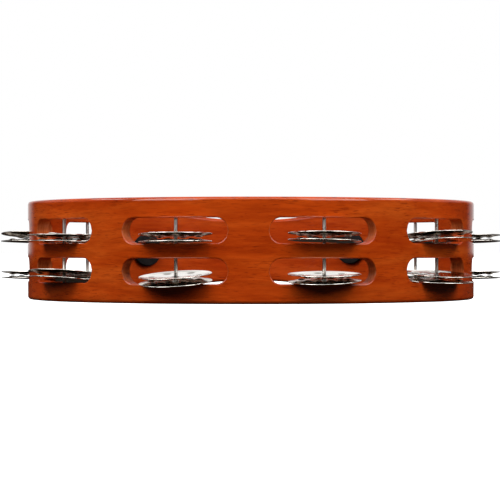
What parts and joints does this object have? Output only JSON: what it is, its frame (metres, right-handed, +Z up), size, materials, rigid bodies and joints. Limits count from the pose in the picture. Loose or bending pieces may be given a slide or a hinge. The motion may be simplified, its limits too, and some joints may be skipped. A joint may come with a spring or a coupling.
{
  "type": "tambourine",
  "caption": "Wooden hand tambourine without a head: a round slotted hoop with two rows of paired steel jingles on pins and a waisted plain grip at the back.",
  "frame": {"origin": "Bottom centre of the whole instrument's box, on the plane the hoop lies on. The hoop's own axis is vertical and 4.75 mm behind the origin, at (0, 0.00475), because the jingles reach past the hoop at the front and there are none at the grip.", "axes": "+Z up along the hoop's axis; the grip is at +Y and the middle of the jingle columns at -Y; +X to the right seen from the front. The box's width along X, over the side jingles, is its longest extent; its height is its shortest."},
  "size_m": [0.2862, 0.2641, 0.055],
  "materials": {
    "hoop_wood": "clear satin-gloss lacquer over red-brown stained wood, fine horizontal grain",
    "pin_steel": "drawn steel wire, bright",
    "jingle_steel": "pressed stainless steel, polished",
    "pad_rubber": "matt black"
  },
  "bodies": {
    "hoop": {"hoop": "hoop_wood", "pin_l4": "pin_steel", "pin_l3": "pin_steel", "pin_l2": "pin_steel", "pin_l1": "pin_steel", "pin_r1": "pin_steel", "pin_r2": "pin_steel", "pin_r3": "pin_steel", "pin_r4": "pin_steel", "grip_pad_left": "pad_rubber", "grip_pad_right": "pad_rubber"},
    "jingle_l4_low_lower": {"jingle_l4_low_lower": "jingle_steel"},
    "jingle_l4_low_upper": {"jingle_l4_low_upper": "jingle_steel"},
    "jingle_l4_high_lower": {"jingle_l4_high_lower": "jingle_steel"},
    "jingle_l4_high_upper": {"jingle_l4_high_upper": "jingle_steel"},
    "jingle_l3_low_lower": {"jingle_l3_low_lower": "jingle_steel"},
    "jingle_l3_low_upper": {"jingle_l3_low_upper": "jingle_steel"},
    "jingle_l3_high_lower": {"jingle_l3_high_lower": "jingle_steel"},
    "jingle_l3_high_upper": {"jingle_l3_high_upper": "jingle_steel"},
    "jingle_l2_low_lower": {"jingle_l2_low_lower": "jingle_steel"},
    "jingle_l2_low_upper": {"jingle_l2_low_upper": "jingle_steel"},
    "jingle_l2_high_lower": {"jingle_l2_high_lower": "jingle_steel"},
    "jingle_l2_high_upper": {"jingle_l2_high_upper": "jingle_steel"},
    "jingle_l1_low_lower": {"jingle_l1_low_lower": "jingle_steel"},
    "jingle_l1_low_upper": {"jingle_l1_low_upper": "jingle_steel"},
    "jingle_l1_high_lower": {"jingle_l1_high_lower": "jingle_steel"},
    "jingle_l1_high_upper": {"jingle_l1_high_upper": "jingle_steel"},
    "jingle_r1_low_lower": {"jingle_r1_low_lower": "jingle_steel"},
    "jingle_r1_low_upper": {"jingle_r1_low_upper": "jingle_steel"},
    "jingle_r1_high_lower": {"jingle_r1_high_lower": "jingle_steel"},
    "jingle_r1_high_upper": {"jingle_r1_high_upper": "jingle_steel"},
    "jingle_r2_low_lower": {"jingle_r2_low_lower": "jingle_steel"},
    "jingle_r2_low_upper": {"jingle_r2_low_upper": "jingle_steel"},
    "jingle_r2_high_lower": {"jingle_r2_high_lower": "jingle_steel"},
    "jingle_r2_high_upper": {"jingle_r2_high_upper": "jingle_steel"},
    "jingle_r3_low_lower": {"jingle_r3_low_lower": "jingle_steel"},
    "jingle_r3_low_upper": {"jingle_r3_low_upper": "jingle_steel"},
    "jingle_r3_high_lower": {"jingle_r3_high_lower": "jingle_steel"},
    "jingle_r3_high_upper": {"jingle_r3_high_upper": "jingle_steel"},
    "jingle_r4_low_lower": {"jingle_r4_low_lower": "jingle_steel"},
    "jingle_r4_low_upper": {"jingle_r4_low_upper": "jingle_steel"},
    "jingle_r4_high_lower": {"jingle_r4_high_lower": "jingle_steel"},
    "jingle_r4_high_upper": {"jingle_r4_high_upper": "jingle_steel"}
  },
  "joints": [
    {"name": "l4_low_pair_rise", "type": "slide", "parent": "hoop", "child": "jingle_l4_low_lower", "axis": [0, 0, 1], "range_m": [0, 0.004]},
    {"name": "l4_low_pair_open", "type": "slide", "parent": "jingle_l4_low_lower", "child": "jingle_l4_low_upper", "axis": [0, 0, 1], "range_m": [0, 0.004]},
    {"name": "l4_high_pair_rise", "type": "slide", "parent": "hoop", "child": "jingle_l4_high_lower", "axis": [0, 0, 1], "range_m": [0, 0.0039]},
    {"name": "l4_high_pair_open", "type": "slide", "parent": "jingle_l4_high_lower", "child": "jingle_l4_high_upper", "axis": [0, 0, 1], "range_m": [0, 0.0039]},
    {"name": "l3_low_pair_rise", "type": "slide", "parent": "hoop", "child": "jingle_l3_low_lower", "axis": [0, 0, 1], "range_m": [0, 0.0036]},
    {"name": "l3_low_pair_open", "type": "slide", "parent": "jingle_l3_low_lower", "child": "jingle_l3_low_upper", "axis": [0, 0, 1], "range_m": [0, 0.0036]},
    {"name": "l3_high_pair_rise", "type": "slide", "parent": "hoop", "child": "jingle_l3_high_lower", "axis": [0, 0, 1], "range_m": [0, 0.0028]},
    {"name": "l3_high_pair_open", "type": "slide", "parent": "jingle_l3_high_lower", "child": "jingle_l3_high_upper", "axis": [0, 0, 1], "range_m": [0, 0.0028]},
    {"name": "l2_low_pair_rise", "type": "slide", "parent": "hoop", "child": "jingle_l2_low_lower", "axis": [0, 0, 1], "range_m": [0, 0.003]},
    {"name": "l2_low_pair_open", "type": "slide", "parent": "jingle_l2_low_lower", "child": "jingle_l2_low_upper", "axis": [0, 0, 1], "range_m": [0, 0.003]},
    {"name": "l2_high_pair_rise", "type": "slide", "parent": "hoop", "child": "jingle_l2_high_lower", "axis": [0, 0, 1], "range_m": [0, 0.0039]},
    {"name": "l2_high_pair_open", "type": "slide", "parent": "jingle_l2_high_lower", "child": "jingle_l2_high_upper", "axis": [0, 0, 1], "range_m": [0, 0.0039]},
    {"name": "l1_low_pair_rise", "type": "slide", "parent": "hoop", "child": "jingle_l1_low_lower", "axis": [0, 0, 1], "range_m": [0, 0.0034]},
    {"name": "l1_low_pair_open", "type": "slide", "parent": "jingle_l1_low_lower", "child": "jingle_l1_low_upper", "axis": [0, 0, 1], "range_m": [0, 0.0034]},
    {"name": "l1_high_pair_rise", "type": "slide", "parent": "hoop", "child": "jingle_l1_high_lower", "axis": [0, 0, 1], "range_m": [0, 0.0037]},
    {"name": "l1_high_pair_open", "type": "slide", "parent": "jingle_l1_high_lower", "child": "jingle_l1_high_upper", "axis": [0, 0, 1], "range_m": [0, 0.0037]},
    {"name": "r1_low_pair_rise", "type": "slide", "parent": "hoop", "child": "jingle_r1_low_lower", "axis": [0, 0, 1], "range_m": [0, 0.0034]},
    {"name": "r1_low_pair_open", "type": "slide", "parent": "jingle_r1_low_lower", "child": "jingle_r1_low_upper", "axis": [0, 0, 1], "range_m": [0, 0.0034]},
    {"name": "r1_high_pair_rise", "type": "slide", "parent": "hoop", "child": "jingle_r1_high_lower", "axis": [0, 0, 1], "range_m": [0, 0.0035]},
    {"name": "r1_high_pair_open", "type": "slide", "parent": "jingle_r1_high_lower", "child": "jingle_r1_high_upper", "axis": [0, 0, 1], "range_m": [0, 0.0035]},
    {"name": "r2_low_pair_rise", "type": "slide", "parent": "hoop", "child": "jingle_r2_low_lower", "axis": [0, 0, 1], "range_m": [0, 0.0034]},
    {"name": "r2_low_pair_open", "type": "slide", "parent": "jingle_r2_low_lower", "child": "jingle_r2_low_upper", "axis": [0, 0, 1], "range_m": [0, 0.0034]},
    {"name": "r2_high_pair_rise", "type": "slide", "parent": "hoop", "child": "jingle_r2_high_lower", "axis": [0, 0, 1], "range_m": [0, 0.0033]},
    {"name": "r2_high_pair_open", "type": "slide", "parent": "jingle_r2_high_lower", "child": "jingle_r2_high_upper", "axis": [0, 0, 1], "range_m": [0, 0.0033]},
    {"name": "r3_low_pair_rise", "type": "slide", "parent": "hoop", "child": "jingle_r3_low_lower", "axis": [0, 0, 1], "range_m": [0, 0.0036]},
    {"name": "r3_low_pair_open", "type": "slide", "parent": "jingle_r3_low_lower", "child": "jingle_r3_low_upper", "axis": [0, 0, 1], "range_m": [0, 0.0036]},
    {"name": "r3_high_pair_rise", "type": "slide", "parent": "hoop", "child": "jingle_r3_high_lower", "axis": [0, 0, 1], "range_m": [0, 0.0037]},
    {"name": "r3_high_pair_open", "type": "slide", "parent": "jingle_r3_high_lower", "child": "jingle_r3_high_upper", "axis": [0, 0, 1], "range_m": [0, 0.0037]},
    {"name": "r4_low_pair_rise", "type": "slide", "parent": "hoop", "child": "jingle_r4_low_lower", "axis": [0, 0, 1], "range_m": [0, 0.004]},
    {"name": "r4_low_pair_open", "type": "slide", "parent": "jingle_r4_low_lower", "child": "jingle_r4_low_upper", "axis": [0, 0, 1], "range_m": [0, 0.004]},
    {"name": "r4_high_pair_rise", "type": "slide", "parent": "hoop", "child": "jingle_r4_high_lower", "axis": [0, 0, 1], "range_m": [0, 0.0038]},
    {"name": "r4_high_pair_open", "type": "slide", "parent": "jingle_r4_high_lower", "child": "jingle_r4_high_upper", "axis": [0, 0, 1], "range_m": [0, 0.0038]}
  ]
}
